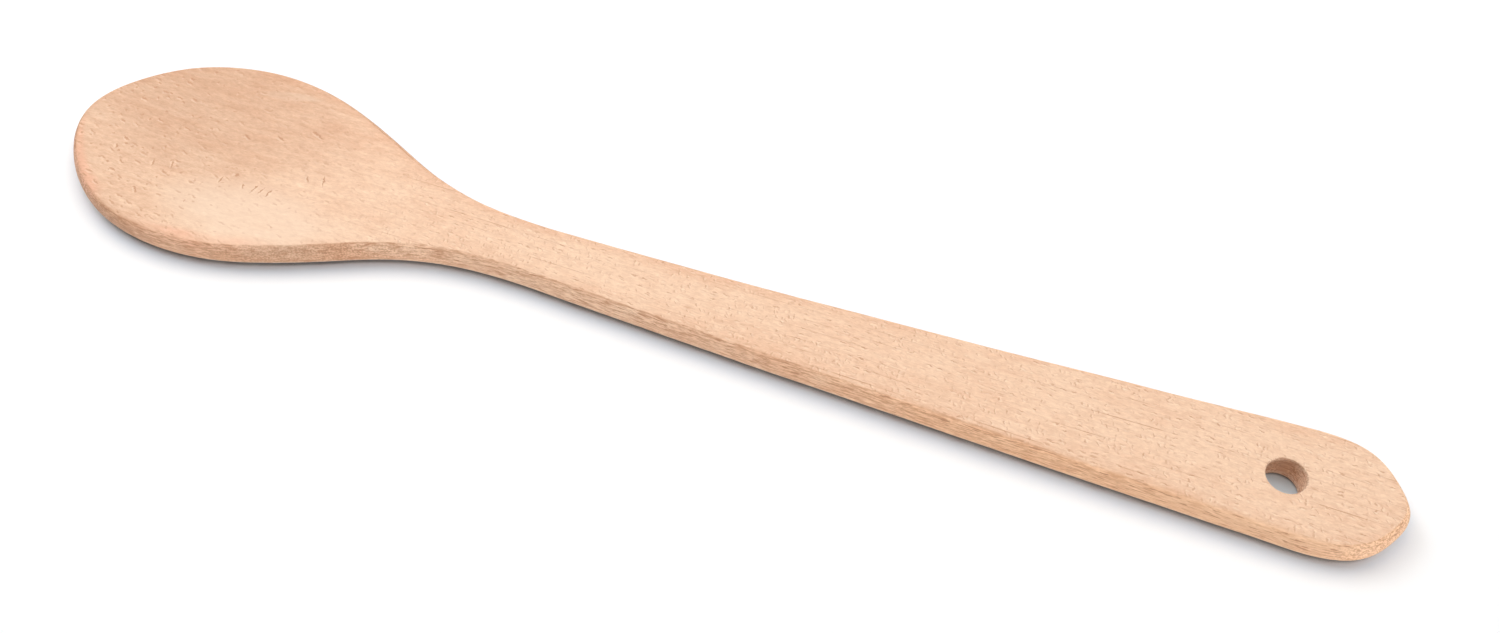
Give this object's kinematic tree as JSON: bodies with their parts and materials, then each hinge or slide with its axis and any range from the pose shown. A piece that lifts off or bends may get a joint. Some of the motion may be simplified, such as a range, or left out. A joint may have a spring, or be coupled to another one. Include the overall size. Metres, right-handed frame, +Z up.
{
  "type": "wooden spoon",
  "caption": "Flat one-piece beech cooking spoon with an oval bowl, shallow dish, narrow neck, broadening handle, rounded sides and a drilled hanging hole.",
  "frame": {"origin": "on the flat back the spoon lies on, under the middle of its length and width", "axes": "+X along the handle from the bowl to the hanging hole, +Z up out of the dish"},
  "size_m": [0.31, 0.0566, 0.0062],
  "materials": {
    "beech": "sanded smooth, no varnish"
  },
  "bodies": {
    "root": {"spoon": "beech"}
  },
  "joints": []
}
